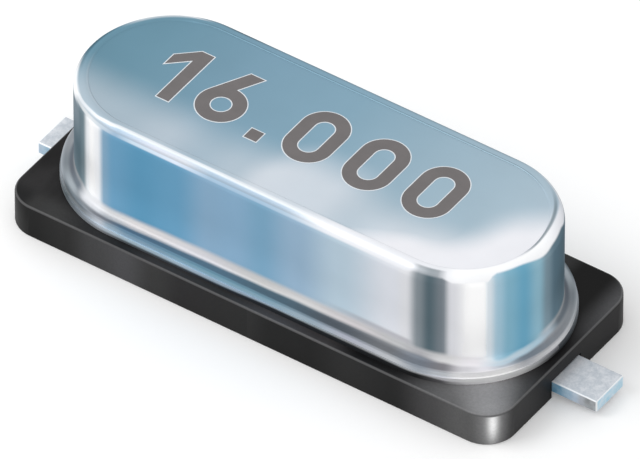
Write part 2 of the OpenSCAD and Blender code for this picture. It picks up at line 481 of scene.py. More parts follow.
RIM_DRIFT = bands(
    start="#d7d7d7",
    left=((-165, "#e6e6e6"), (-152, "#f1f1f1"), (-140, "#dcdcdc"), (-130, "#b5b5b5"),
          (-110, "#959595"), (-99, "#626262"), (-90, "#000000")),
    front=(),
    right=((-75, "#000000"), (-55, "#9a9a9a"), (-25, "#aaaaaa")),
    end="#d7d7d7")

# How much painted shade dims the rim's bright band, once round the whole outline.
RIM_SHADE = (
    (0.0, "#b3b3b3"),
    (on_left(-162), "#7c7c7c"),
    (on_left(-150), "#000000"),
    (on_right(72), "#000000"),
    (1 + on_front(-3.0), "#7c7c7c"),
    (1 + on_front(2.0), "#8c8c8c"),
    (1 + on_front(3.0), "#cbcbcb"),
    (1 + on_right(-84), "#898989"),
    (1 + on_right(-68), "#000000"),
    (1 + on_right(-25), "#000000"),
    (1 + on_right(-8), "#aaaaaa"),
    (2.0, "#b3b3b3"),
)

# Painted reflection in the band under the rim's painted highlight line: its upper, then its lower
# part.
RIM_MIDDLE = bands(
    start="#93a3ad",
    left=((-140, "#93a1aa"), (-112, "#b7c4cd"), (-98, "#a9b7c4"), (-90, "#9db0c1")),
    front=((-2.5, "#bbc0cb"), (-1.8, "#babfc6"), (-1.2, "#98aaba"), (0.0, "#9aacbc"),
           (1.0, "#aab8c5")),
    right=(),
    end="#c8d0d6")

RIM_LOWER = bands(
    start="#7d8d96",
    left=((-140, "#a9b3b9"), (-112, "#dde1e4"), (-98, "#bccbd8"), (-91, "#9ab5cd")),
    front=((-3.0, "#c6d8e6"), (-2.0, "#dae4f2"), (-1.2, "#a5bfd5"), (0.0, "#a6c0d6"),
           (1.0, "#bccfdf")),
    right=(),
    end="#e9eef2")

# Painted highlight along the fillet at the wall's foot.
FILLET_BANDS = bands(
    start="#b4c3ce",
    left=((-167, "#6f7880"), (-140, "#656b73"), (-124, "#727b84"), (-113, "#d6d8dc"),
          (-103, "#d6d8dc"), (-94, "#c2c3c5")),
    front=((-2.8, "#cfcbcb"), (-1.2, "#cbcace"), (0.0, "#c8c7c6"), (1.0, "#d6d5d5"),
           (2.2, "#d2ced0"), (3.2, "#c2c3c5")),
    right=((-82, "#b0b0b4"), (-66, "#dadadb"), (-50, "#eae8ec"), (-36, "#d8e3ea"),
           (-22, "#c8dae4"), (-10, "#bad4e2")),
    end="#b4c3ce")

FOOT_SHIFT = bands(
    start="#959595",
    left=((-150, "#bcbcbc"), (-125, "#bcbcbc"), (-112, "#e7e7e7"), (-94, "#e7e7e7")),
    front=((-3.0, "#e1e1e1"), (-2.0, "#cbcbcb"), (-1.0, "#b4b4b4"), (0.0, "#a0a0a0"),
           (1.0, "#828282"), (3.0, "#636363")),
    right=((-82, "#404040"), (-68, "#898989"), (-55, "#bcbcbc"), (-44, "#d4d4d4"),
           (-35, "#f6f6f6"), (-22, "#c8c8c8"), (-10, "#a8a8a8")),
    end="#959595")

# Painted shade and reflection on the flange's land: dark along the front, pale round the right end.
LAND_BANDS = bands(
    start="#9a9ca1",
    left=((-162, "#9a9ea3"), (-145, "#868d93"), (-126, "#b0b8be"), (-112, "#8a9096"),
          (-96, "#7b7d83")),
    front=((-3.0, "#587185"), (-1.0, "#5a7586"), (0.4, "#566b77"), (1.8, "#565d64"),
           (3.0, "#73767a")),
    right=((-80, "#7a818b"), (-67, "#858489"), (-55, "#cfced2"), (-44, "#e4e2e7"),
           (-35, "#c9cbd1"), (-22, "#8c9097")),
    end="#9a9ca1")

# Painted reflections on the flange's side, white round the front of the right end.
SIDE_BANDS = bands(
    start="#d8d9dc",
    left=((-155, "#a9afb4"), (-140, "#9ca3aa"), (-125, "#5f686e"), (-110, "#6e7880"),
          (-96, "#bcc4ce"), (-90, "#8fa8ba")),
    front=((-2.9, "#6c91ab"), (-1.0, "#6a9ab0"), (0.2, "#779fb3"), (1.2, "#93a9b8"),
           (2.2, "#b1b6c4"), (3.2, "#bfc3c8")),
    right=((-79, "#9ba4af"), (-67, "#cbd0d7"), (-58, "#fbfbfd"), (-34, "#ffffff"),
           (-22, "#bcbfc5"), (-12, "#cfd0d2")),
    end="#d8d9dc")

# Painted reflection bands along the header's edge.
HEADER_BANDS = (
    (0.0, "#55595e"), (0.045, "#a0a7ad"), (0.083, "#7a8489"), (0.129, "#a4aeb8"),
    (0.178, "#d8e3ee"), (0.24, "#c6dfee"), (0.4, "#c0d6e8"), (0.5, "#b3c6d8"),
    (0.6, "#aebbc2"), (0.7, "#a3a5a7"), (0.8, "#b0b3b7"), (0.835, "#bfc2c5"),
    (0.881, "#e4e4ea"), (0.92, "#ffffff"), (0.98, "#ffffff"), (0.993, "#c9cbce"),
    (1.0, "#808186"),
)

# The same where painted shade falls on the header's lower part; painted highlights stay at the front
# right.
HEADER_SHADOW = (
    (0.0, "#3c4044"), (0.045, "#a2a8ad"), (0.083, "#8a9399"), (0.129, "#a8b0b8"),
    (0.178, "#a8acb2"), (0.227, "#6c747a"), (0.4, "#454b54"), (0.5, "#383c41"),
    (0.8, "#2c2d2f"), (0.84, "#2f3031"), (0.881, "#717073"), (0.916, "#e8e8ea"),
    (0.945, "#ffffff"), (0.978, "#ffffff"), (0.99, "#c8cacc"), (1.0, "#3c3d40"),
)

# Painted reflections along the plate's top strips by the long edges.
PLATE_STRIP = (
    (0.035, "#171718"), (0.062, "#303030"), (0.1, "#353535"), (0.18, "#272728"),
    (0.24, "#1f1f20"), (0.31, "#323132"), (0.44, "#2d2d2d"), (0.55, "#424245"),
    (0.65, "#383637"), (0.72, "#141415"), (0.8, "#1b1b1c"), (0.88, "#3c3c3d"),
)

# Painted reflections along the plate's long faces.
PLATE_FACE = (
    (0.06, "#161616"), (0.13, "#242424"), (0.19, "#3d3d3e"), (0.25, "#474749"),
    (0.31, "#323232"), (0.37, "#242324"), (0.49, "#232323"), (0.55, "#0d0d0d"),
    (0.62, "#0a0a0a"), (0.7, "#1d1d1d"), (0.8, "#101010"), (0.87, "#323132"),
    (0.93, "#4a4a4a"),
)

# Painted reflections on the leads' sides, outwards from the plate: blue, then pale, then grey.
LEAD_SIDE = (
    (0.0, "#64a8cc"), (0.16, "#7db4d5"), (0.34, "#a6c8e0"), (0.5, "#bccfe2"),
    (0.66, "#b8bcc4"), (0.78, "#8e9092"), (1.0, "#949698"),
)

CAN_SHINE = (0.3, 0.33, 0.35, 1.0)
LEAD_SHINE = (0.5, 0.53, 0.55, 1.0)


def satin_grain(look, vector):
    """Fine satin texture of plated sheet: a height for the bump and a cloudy value."""
    grain = look.noise(vector, 38.0, 4.0, 0.6)
    clouds = look.noise(vector, 0.9, 3.0, 0.55)
    return grain, clouds


def polish(look, grain, clouds, roughness, variation=0.14, strength=0.05):
    """Sets the roughness and the fine grain of a metal."""
    look.set(Roughness=look.scaled(clouds, variation, roughness),
             Normal=look.bump(grain, strength, 0.002 * MM))


def plated(look, tone, metallic, shine):
    """Sets a plated metal that shows this tone and mirrors the lights only faintly."""
    look.set(Base_Color=tone, Metallic=metallic, Specular_IOR_Level=0.0, Specular_Tint=shine)
    return look.material


def outline_ramp(look, share, stops):
    """A ramp along the can's whole outline, where share runs from 0 to 2 once round it."""
    return look.ramp(look.product(share, 0.5), [(place / 2, tone) for place, tone in stops])


def around(look, share, rise, full, fade, end):
    """A mask along the whole outline: 1 from full to fade, and 0 before rise and past end."""
    return outline_ramp(look, share, ((0.0, "#000000"), (rise, "#000000"), (full, "#ffffff"),
                                      (fade, "#ffffff"), (end, "#000000")))


def left_arc(look, share, *bearings):
    """The same mask between four bearings of the left end."""
    return around(look, share, *[on_left(bearing) for bearing in bearings])


def right_arc(look, share, *bearings):
    """The same mask between four bearings of the right end."""
    return around(look, share, *[on_right(bearing) for bearing in bearings])


def panel_tone(look, x, y):
    """The top panel: painted reflection, cool left to pale right, painted highlights in front."""
    reach = can_high.x / MM
    place = look.fade(x, -reach, reach, "LINEAR")
    panel = look.ramp(place, PANEL_TONES, "LINEAR")
    # Painted highlight: pale towards the front of the right end, and along the front edge.
    past_end = look.math("SUBTRACT", look.absolute(x), half_straight / MM - 0.25)
    past_end = look.math("MAXIMUM", past_end, 0.0)
    radial = look.scaled(past_end, past_end, look.product(y, y))
    rim_side = look.fade(look.math("SQRT", radial), 0.5, 1.4)
    lower_right = look.fade(look.math("SUBTRACT", look.product(x, 0.8), y), 2.5, 3.8)
    right_highlight = look.product(rim_side, lower_right)
    higher = look.scaled(look.window(x, -0.6, 0.2, 1.2, 2.3), -0.45, y)
    front = look.product(look.fade(higher, -0.2, -1.4), look.ramp(place, PANEL_HIGHLIGHT))
    return look.mix(look.math("MAXIMUM", right_highlight, front), panel, "#eaebf0")


def bright_rim(look, panel, wall, share, across, turn_back):
    """The rim as one broad painted highlight, whose lower edge wanders round the right end."""
    behind_crease = look.scaled(turn_back, -1.5, across)
    bright = look.mix(right_arc(look, share, -72, -58, 0, 30), "#e6e8ed", "#fafbfd")
    bright = look.mix(look.fade(behind_crease, 0.02, arc_start + 0.02), panel, bright)
    edge = across
    for shift, bearings in ((0.13, (-42, -37, -22, 4)), (0.06, (-6, 9, 22, 30)),
                            (0.07, (-92, -85, -69, -62))):
        edge = look.scaled(right_arc(look, share, *bearings), shift, edge)
    bright = look.mix(look.fade(edge, on_arc(28), on_arc(14)), bright, wall)
    # Painted shade: the wall's dark reflection band reaches up into the rim here.
    shade = look.product(right_arc(look, share, -94, -84, -72, -65),
                         look.fade(across, on_arc(80), on_arc(68)), 0.7)
    return look.mix(shade, bright, wall)


def double_rim(look, panel, wall, share, along, across):
    """The rim as a painted highlight line, which drifts down at the left end, over a painted
    reflection.
    """
    place = look.scaled(look.ramp(along, RIM_DRIFT), -0.25, across)
    double = look.mix(look.fade(place, on_arc(66), on_arc(52)), panel,
                      look.ramp(along, RIM_MIDDLE, "LINEAR"))
    double = look.mix(look.fade(across, on_arc(38), on_arc(30)), double,
                      look.ramp(along, RIM_LOWER, "LINEAR"))
    double = look.mix(look.fade(across, on_arc(23), on_arc(13)), double, wall)
    line = look.window(place, on_arc(80), on_arc(72), on_arc(66), on_arc(54))
    double = look.mix(line, double, "#dce1e6")
    # A brighter painted highlight line across the left end.
    end_line = look.product(left_arc(look, share, -172, -157, -138, -126),
                            look.window(across, 0.2, 0.29, 0.38, 0.44))
    return look.mix(end_line, double, "#f6f8fa")


def rim_tone(look, panel, wall, share, along, across):
    """The rim: a broad painted highlight at the front right, a painted double line elsewhere in
    front.
    """
    turn_back = look.product(look.fade(share, on_right(5), on_right(60)), 0.15)
    broad = around(look, share, on_front(0.4), on_front(1.7), on_right(30), on_right(62))
    tone = look.mix(broad, double_rim(look, panel, wall, share, along, across),
                    bright_rim(look, panel, wall, share, across, turn_back))

    # Painted shade in the crease between the top panel and the rim, round the right end.
    place = look.math("SUBTRACT", across, turn_back)
    crease = look.product(look.window(place, -0.02, 0.025, 0.045, 0.09),
                          right_arc(look, share, -20, 2, 35, 60), 0.8)
    tone = look.mix(crease, tone, "#74838b")

    # Along the far side: a faint painted highlight on the rim and painted shade on the panel's slope.
    edge = look.product(look.window(across, 0.1, 0.25, 0.3, 0.42), 0.12)
    slope = look.product(look.window(across, -0.02, 0.01, 0.035, 0.055), 0.5)
    far_side = look.mix(slope, look.mix(edge, panel, "#e6ebef"), "#3d4f59")
    behind = around(look, share, on_right(48), on_right(80), 1 + on_right(-85), 1 + on_right(-65))
    tone = look.mix(behind, tone, far_side)

    # Painted shade dimming the rim's bright band in places round the outline.
    rim_shading = look.product(outline_ramp(look, share, RIM_SHADE),
                        look.window(across, 0.13, 0.2, 0.34, 0.42))
    tone = look.mix(rim_shading, tone, "#0c1216")
    # A painted highlight on the rim at the back left.
    back_left = around(look, share, *[1 + on_right(bearing) for bearing in (-75, -62, -38, -18)])
    shine = look.product(back_left, look.window(across, 0.07, 0.17, 0.31, 0.38), 0.5)
    tone = look.mix(shine, tone, "#ffffff")
    # A faint painted highlight on the panel's step, from the left end to the middle of the front.
    step = look.product(look.window(across, 0.0, 0.012, 0.045, 0.075), 0.06,
                        look.fade(share, on_front(1.5), on_front(0.0)),
                        look.fade(share, 0.0, on_left(-150)))
    return look.mix(step, tone, "#ffffff")


def wall_tone(look, share, along, lift, z):
    """The wall's upright painted reflection bands, brighter low down and in one flash at the right
    end.
    """
    wall = look.ramp(along, WALL_BANDS)
    # Painted light: the wall is painted brighter low down, against the plate's shade, and in one
    # highlight flash at the right end.
    flash = right_arc(look, share, -58, -50, -45, -41)
    brighter = look.tint(wall, (1.13, 1.13, 1.13, 1.0))
    wall = look.mix(look.math("MAXIMUM", lift, flash), wall, brighter)
    # A pale painted reflection high on the left end.
    left_end = left_arc(look, share, -144, -134, -128, -120)
    return look.mix(look.product(look.fade(z, 1.9, 2.8), left_end, 0.5), wall, "#a9b4bd")


def foot_tone(look, tone, wall, share, along, across):
    """Adds the painted highlight of the fillet at the wall's foot and painted tones of the flange's
    land and side.
    """
    # Painted shade low on the wall, just above the fillet, along the right part of the front.
    foot_shade = look.product(around(look, share, on_front(1.2), on_front(2.6), on_right(-90),
                                 on_right(-84)),
                          look.fade(across, wall_end - 0.24, wall_end - 0.14), 0.6)
    tone = look.mix(foot_shade, tone, "#a5a4aa")
    shift = look.scaled(look.ramp(along, FOOT_SHIFT), -0.2, 0.1)
    shifted = look.math("ADD", across, shift)
    begin = look.math("ADD", across, look.math("MINIMUM", shift, look.product(shift, 0.3)))
    fillet = look.ramp(along, FILLET_BANDS)
    # The fillet's painted highlight is whiter where it leaves the wall.
    lit = look.mix(0.25, fillet, "#ffffff")
    lit = look.mix(right_arc(look, share, -46, -38, -12, 0), lit, wall)
    fillet = look.mix(look.fade(begin, wall_end, wall_end + 0.1), lit, fillet)
    tone = look.mix(look.fade(begin, wall_end - 0.12, wall_end + 0.03), tone, fillet)
    land = look.ramp(along, LAND_BANDS)
    tone = look.mix(look.fade(shifted, fillet_end - 0.07, fillet_end + 0.01), tone, land)
    # Painted highlight, paler towards the foot of the flange's side.
    paler = look.product(look.fade(across, land_end + 0.02, side_end), 0.14)
    side = look.mix(paler, look.ramp(along, SIDE_BANDS), "#ffffff")
    left_foot = look.window(along, 0.0, on_left(-150), on_left(-116), on_left(-104))
    edge = look.scaled(left_foot, 0.05, across)
    return look.mix(look.fade(edge, land_end, land_end + 0.09), tone, side)


def can_look():
    """The can's metal, toned with painted light along its outline and across its profile."""
    look = Look("can_metal")
    vector = look.position()
    x, y, z = look.parts(vector)
    sweep = look.node("ShaderNodeUVMap", uv_map="Sweep").outputs["UV"]
    share, across, _ = look.parts(sweep)
    along = look.math("FRACT", share)
    # Low on the wall the tone is painted brighter, against the plate's shade, and the metal mirrors
    # less.
    lift = look.fade(z, 2.1, 1.1)
    wall = wall_tone(look, share, along, lift, z)
    tone = rim_tone(look, panel_tone(look, x, y), wall, share, along, across)
    tone = foot_tone(look, tone, wall, share, along, across)

    grain, clouds = satin_grain(look, vector)
    tone = look.tint(tone, look.scaled(clouds, 0.12, 0.96))
    metal = look.scaled(lift, -0.4, 0.55)
    metal = look.scaled(look.window(across, 0.06, 0.12, 0.4, 0.5), -0.3, metal)
    polish(look, grain, clouds, 0.3, 0.12, 0.04)
    return plated(look, tone, metal, CAN_SHINE)


def header_look():
    """The header's edge below the can, with painted reflections along the part as on the can's own
    edge.
    """
    look = Look("header_steel")
    vector = look.position()
    x, y, z = look.parts(vector)
    reach = header_high.x / MM
    turned = look.product(x, look.math("SIGN", y))
    place = look.fade(turned, reach, -reach, "LINEAR")
    # Painted shade on the header's lower part, reaching higher along the front's right half and the
    # back's left half.
    sooner = look.window(place, 0.42, 0.55, 0.85, 0.9)
    depth = look.scaled(sooner, -0.052, z)
    lower = look.fade(depth, header_flange_top / MM - 0.05, header_flange_top / MM - 0.11)
    tone = look.mix(lower, look.ramp(place, HEADER_BANDS, "LINEAR"),
                    look.ramp(place, HEADER_SHADOW, "LINEAR"))
    grain, clouds = satin_grain(look, vector)
    polish(look, grain, clouds, 0.3)
    tone = look.tint(tone, look.scaled(clouds, 0.16, 0.92))
    return plated(look, tone, 0.4, CAN_SHINE)


def steel_look(name, tone, darker, roughness):
    """A plain metal with cloudy tone and satin grain."""
    look = Look(name)
    grain, clouds = satin_grain(look, look.position())
    polish(look, grain, clouds, roughness)
    look.set(Base_Color=look.mix(clouds, darker, tone), Metallic=1.0)
    return look.material


def lead_look():
    """Tinned leads, pale on top; painted reflections make the cut end pale blue, the sides blue, then
    grey.
    """
    look = Look("lead_metal")
    vector = look.position()
    x, y, _ = look.parts(vector)
    facing_x, facing_y, facing_z = [look.absolute(part) for part in look.normal()]
    mottle = look.fade(look.noise(vector, 6.0, 5.0, 0.75), 0.3, 0.7)
    past_plate = look.math("SUBTRACT", look.absolute(x), plate_high.x / MM)
    side = look.ramp(past_plate, LEAD_SIDE)
    side = look.mix(look.product(mottle, 0.35), side, "#e8eff5")
    colour = look.mix(look.fade(facing_y, 0.5, 0.9), look.mix(mottle, "#c3cad2", "#e2e5ea"),
                      side)
    # Painted reflection on the cut end, with painted highlights down its outer sides.
    outer_side = look.fade(look.absolute(y), foot_width / MM * 0.42, foot_width / MM * 0.5)
    tip = look.mix(outer_side, look.mix(mottle, "#b4dcee", "#dceaf4"), "#f2f7fa")
    colour = look.mix(look.fade(facing_x, 0.5, 0.9), colour, tip)
    # Painted highlight along the edges.
    squareness = look.math("MAXIMUM", look.math("MAXIMUM", facing_x, facing_y), facing_z)
    edge_highlight = look.product(look.fade(squareness, 0.97, 0.85), 0.8)
    grain, clouds = satin_grain(look, vector)
    polish(look, grain, clouds, 0.28)
    return plated(look, look.mix(edge_highlight, colour, "#f4f6f8"), 0.3, LEAD_SHINE)


def corner_highlight(look, corner, inset_x, inset_y, reach):
    """A soft round mask for painted light, about a point this far in from the plate's corner."""
    offset = look.node("ShaderNodeCombineXYZ", {0: look.math("ADD", corner[0], inset_x),
                                                1: look.math("SUBTRACT", corner[1], inset_y)})
    distance = look.node("ShaderNodeVectorMath", {0: offset.outputs[0]}, operation="LENGTH")
    return look.fade(distance.outputs["Value"], reach, 0.0)


def plastic_look():
    """Moulded black plastic, with painted reflections and highlights, brightest at two opposite
    corners.
    """
    look = Look("black_plastic")
    vector = look.position()
    x, y, _ = look.parts(vector)
    facing_x, facing_y, upward = look.normal()
    fine = look.noise(vector, 22.0, 5.0, 0.65)
    stretched = look.node("ShaderNodeMapping", {"Vector": vector, "Scale": (1.0, 0.5, 0.5)})
    clouds = look.noise(stretched.outputs["Vector"], 0.8, 3.0, 0.6)
    colour = look.mix(look.fade(clouds, 0.42, 0.66), "#121112", "#2a292a")

    on_top = look.fade(upward, 0.5, 0.9)
    half_length = plate_high.x / MM
    front_x = look.product(x, look.math("SIGN", y), -1.0)
    place = look.fade(front_x, -half_length, half_length, "LINEAR")
    # Painted reflections along the top by the long edges.
    long_edge = look.product(look.fade(look.absolute(y), 1.7, 2.15), on_top)
    colour = look.mix(long_edge, colour, look.ramp(place, PLATE_STRIP))
    # Painted shade on the top near the can's right end at the back, with a painted highlight along
    # the far edge.
    far_end = look.product(look.fade(x, 4.2, 4.6), look.fade(y, 0.0, 0.9), on_top)
    far_edge = look.product(look.fade(x, 5.15, 5.72), look.fade(y, -0.4, 1.9))
    colour = look.mix(far_end, colour, look.mix(far_edge, "#020202", "#555557"))
    # Upright faces: painted reflection patches on the long faces, darker on the ends.
    side = look.mix(look.fade(look.absolute(facing_y), 0.6, 0.9), "#161516",
                    look.ramp(place, PLATE_FACE))
    colour = look.mix(look.fade(upward, 0.6, 0.2), colour, side)

    # Painted reflection of the can's bright ends on the top near the front right and back left
    # corners, with painted highlights there.
    turned = look.math("SIGN", x)
    corner = (look.math("SUBTRACT", look.product(x, turned), half_length),
              look.math("ADD", look.product(y, turned), plate_high.y / MM))
    wide = look.product(corner_highlight(look, corner, 0.85, 0.5, 1.7),
                        look.scaled(on_top, 0.6, 0.25))
    colour = look.mix(wide, colour, "#6f6f70")
    for inset_x, inset_y, reach, strength, tone in ((0.35, 0.3, 0.7, 0.6, "#a4a4a6"),
                                                    (0.76, 0.8, 0.8, 0.85, "#949496")):
        spot_highlight = corner_highlight(look, corner, inset_x, inset_y, reach)
        colour = look.mix(look.product(spot_highlight, on_top, strength), colour, tone)

    # Painted highlight down the rounded upright corners at the front right and back left.
    facing = look.product(look.math("SUBTRACT", facing_x, facing_y), turned, math.sqrt(0.5))
    facing = look.math("MAXIMUM", facing, 0.0)
    colour = look.mix(look.math("POWER", facing, 11.0), colour, "#8c8c8d")
    colour = look.mix(look.math("POWER", facing, 90.0), colour, "#ffffff")
    # Painted highlight along the rounded top edges.
    edge_highlight = look.product(look.window(upward, 0.2, 0.6, 0.85, 0.99), 0.3)
    colour = look.mix(edge_highlight, colour, "#8a8a8b")
    speckle = look.scaled(fine, 0.5, 0.75)
    look.set(Base_Color=look.tint(colour, speckle), Specular_IOR_Level=0.12,
             Roughness=look.scaled(clouds, 0.2, 0.36),
             Normal=look.bump(fine, 0.1, 0.004 * MM))
    return look.material


def ink_look(name, tone, darker):
    """Matt ink, or the pale ring painted round the digits as a highlight on their edges."""
    look = Look(name)
    clouds = look.noise(look.position(), 3.0, 3.0, 0.6)
    look.set(Base_Color=look.mix(clouds, darker, tone),
             Roughness=look.scaled(clouds, 0.15, 0.5), Specular_IOR_Level=0.2)
    return look.material


def clear_look(name, tone, roughness, transmission, ior):
    """Glass or quartz, slightly cloudy."""
    look = Look(name)
    clouds = look.noise(look.position(), 2.5, 3.0, 0.5)
    look.set(Base_Color=look.mix(clouds, tone, "#ffffff"),
             Roughness=look.scaled(clouds, 0.08, roughness),
             Transmission_Weight=transmission, IOR=ior)
    return look.material


# -------- pieces

def can_profile():
    """The can's sheet as (radius, height): down its outside, then up its inside."""
    top = can_high.z
    foot = can_low.z
    out = can_high.y
    bend = FOOT_FILLET + SHEET
    panel = wall_radius - RIM_RADIUS - RIM_LAND
    inner_rim = RIM_RADIUS - SHEET
    profile = []
    for i in range(5):
        share = i / 4
        rise = PANEL_DROP * ease(share)
        profile.append((panel - PANEL_SLOPE * (1 - share), top - PANEL_DROP + rise))
    profile += arc((wall_radius - RIM_RADIUS, top - RIM_RADIUS), RIM_RADIUS, 90, 0, 14)
    profile += arc((wall_radius + FOOT_FILLET, foot + SHEET + FOOT_FILLET), FOOT_FILLET, 180, 270, 12)
    profile += arc((out - FLANGE_EDGE, foot + SHEET - FLANGE_EDGE), FLANGE_EDGE, 90, 0, 6)
    profile += [(out, foot)]
    profile += arc((inner_radius + bend, foot + bend), bend, 270, 180, 12)
    profile += arc((inner_radius - inner_rim, top - SHEET - inner_rim), inner_rim, 0, 90, 8)
    profile += [(panel, top - SHEET), (panel, top - SHEET - PANEL_DROP)]
    return profile


def make_can(material):
    """The drawn can, a shell open below."""
    mesh = obround_sweep("can_shell", can_profile())
    finish_piece("can_shell", mesh, material, "can_metal", "can")


def make_header(material):
    """The header: a flange and a shallow tray, with an eyelet round each lead."""
    low = header_low.z
    hollow = header_high.z - HEADER_SHEET
    inside = header_middle - HEADER_SHEET
    profile = [(header_high.y, low), (header_high.y, header_flange_top),
               (header_middle, header_flange_top)]
    profile += arc((header_middle - HEADER_EDGE, header_high.z - HEADER_EDGE), HEADER_EDGE, 0, 90, 6)
    body = obround_sweep("header_plate", profile)
    cup = prism(obround_outline(inside), low - MM, hollow)
    eyelets = []
    holes = []
    for side in (1, -1):
        collar = circle_at_pin(side, eyelet_radius + EYELET_WALL)
        eyelets.append(prism(collar, low, hollow + HEADER_SHEET / 2))
        holes.append(prism(circle_at_pin(side, eyelet_radius), low - MM, header_high.z + MM))
    mesh = combine(body, "DIFFERENCE", [cup])
    mesh = combine(mesh, "UNION", eyelets)
    mesh = combine(mesh, "DIFFERENCE", holes)
    finish_piece("header_plate", mesh, material, "header_steel", "header")


def make_insulator(material):
    """The plate, with a slot and a channel under each lead."""
    half_x = plate_high.x
    half_y = plate_high.y
    low = plate_low.z
    high = plate_high.z
    middle = 0.3 * PLATE_FOOT_EDGE
    levels = [(PLATE_FOOT_EDGE, low), (middle, low + middle), (0.0, low + PLATE_FOOT_EDGE)]
    for r, z in arc((0, high - PLATE_EDGE), PLATE_EDGE, 0, 90, 6):
        levels.append((PLATE_EDGE - r, z))
    rings = []
    for inset, z in levels:
        ring = rounded_ring(half_x - inset, half_y - inset, PLATE_CORNER - inset, 20)
        rings.append([(x, y, z) for x, y in ring])
    body = loft("insulator_plate", rings)
    wire_slot = WIRE_DIAMETER / 2 + 2 * CLEARANCE
    pocket_top = foot_middle + WIRE_DIAMETER / 2 + CLEARANCE
    channel_top = foot_middle + FOOT_THICKNESS / 2 + CLEARANCE
    channel_half = foot_width / 2 + CLEARANCE
    drift = BEND_RADIUS - math.sqrt(BEND_RADIUS ** 2 - (bend_z - pocket_top) ** 2)
    inner_end = bend_x - 2 * CLEARANCE + channel_half
    cutters = []
    for side in (1, -1):
        cutters.append(prism(stadium(pin_x, pin_x + drift + CLEARANCE, wire_slot, side),
                             low - MM, high + MM))
        cutters.append(prism(stadium(pin_x, bend_x + TAPER, wire_slot, side), low - MM, pocket_top))
        cutters.append(prism(stadium(inner_end, half_x + MM, channel_half, side),
                             low - MM, channel_top))
    mesh = combine(body, "DIFFERENCE", cutters)
    finish_piece("insulator_plate", mesh, material, "black_plastic", "insulator")


def trimmed(section):
    """A lead's section, as (width, thickness, corner), a small bevel in from all its sides."""
    width, thickness, corner = section
    return (width - 2 * CUT_EDGE, thickness - 2 * CUT_EDGE, corner - CUT_EDGE)


def make_lead(name, node, material):
    """A wire with a nail head, bent a quarter turn and pressed flat along the foot."""
    low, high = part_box(node)
    side = 1 if high.x + low.x > 0 else -1
    tip = max(high.x, -low.x)
    head_top = high.z
    head_low = head_top - HEAD_THICKNESS
    wire = (WIRE_DIAMETER, WIRE_DIAMETER, WIRE_DIAMETER / 2 * ALMOST_ROUND)
    head = (2 * head_radius, 2 * head_radius, head_radius * ALMOST_ROUND)
    foot = (foot_width, FOOT_THICKNESS, FOOT_EDGE)
    rings = []

    def add(section, centre, tilt):
        """A ring square to the path: tilt 0 looks down the wire, 90 along the foot."""
        width, thickness, corner = section
        turn = math.radians(tilt)
        ring = []
        for across, up in rounded_ring(width / 2, thickness / 2, corner, 6):
            ring.append((side * (centre[0] + up * math.cos(turn)), across,
                         centre[1] + up * math.sin(turn)))
        rings.append(ring)

    add(trimmed(head), (pin_x, head_top), 0)
    add(head, (pin_x, head_top - CUT_EDGE), 0)
    add(head, (pin_x, head_low), 0)
    add(wire, (pin_x, head_low), 0)
    steps = 10
    for i in range(steps + 1):
        angle = 90 * i / steps
        turn = math.radians(angle)
        centre = (bend_x - BEND_RADIUS * math.cos(turn), bend_z - BEND_RADIUS * math.sin(turn))
        add(wire, centre, angle)
    for i in range(1, steps + 1):
        share = i / steps
        section = [a + (b - a) * ease(share) for a, b in zip(wire, foot)]
        add(section, (bend_x + foot_width / 2 * share, foot_middle), 90)
    add(foot, (tip - CUT_EDGE, foot_middle), 90)
    add(trimmed(foot), (tip, foot_middle), 90)
    finish_piece(name, loft(name, rings), material, "lead_metal", node)


def digit_outlines(digit):
    """The closed outlines of a dot or a plain 0, 1 or 6 as points, and its width."""
    radius = DIGIT_WIDTH / 2
    hole = radius - STROKE
    top = DIGIT_HEIGHT
    if digit == ".":
        return [[(0, 0), (STROKE, 0), (STROKE, STROKE), (0, STROKE)]], STROKE
    if digit == "1":
        stem = DIGIT_WIDTH * 0.4
        flag = DIGIT_HEIGHT * 0.24
        outline = [(stem, 0), (stem + STROKE, 0), (stem + STROKE, top), (stem, top),
                   (0, top - flag), (0, top - flag - STROKE * 1.1), (stem, top - STROKE * 1.1)]
        return [outline], stem + STROKE
    if digit == "0":
        rings = [arc((radius, top - radius), r, 0, 180, 20) + arc((radius, radius), r, 180, 360, 20)
                 for r in (radius, hole)]
        return rings, DIGIT_WIDTH
    lean = math.radians(SIX_LEAN)
    slope = Vector((math.sin(lean), math.cos(lean)))
    square = Vector((math.cos(lean), -math.sin(lean)))
    centre = Vector((radius, radius))
    left_touch = centre - square * radius
    left_top = left_touch + slope * ((top - left_touch.y) / slope.y)
    inner_start = -radius + STROKE
    climb = math.sqrt(radius ** 2 - inner_start ** 2)
    right_touch = centre + square * inner_start + slope * climb
    right_top = right_touch + slope * ((top - right_touch.y) / slope.y)
    start = 180 - SIX_LEAN
    end = math.degrees(math.atan2(right_touch.y - centre.y, right_touch.x - centre.x)) + 360
    outer = arc(tuple(centre), radius, start, end, 40) + [tuple(right_top), tuple(left_top)]
    inner = arc(tuple(centre), hole, 0, 350, 35)
    return [outer, inner], DIGIT_WIDTH


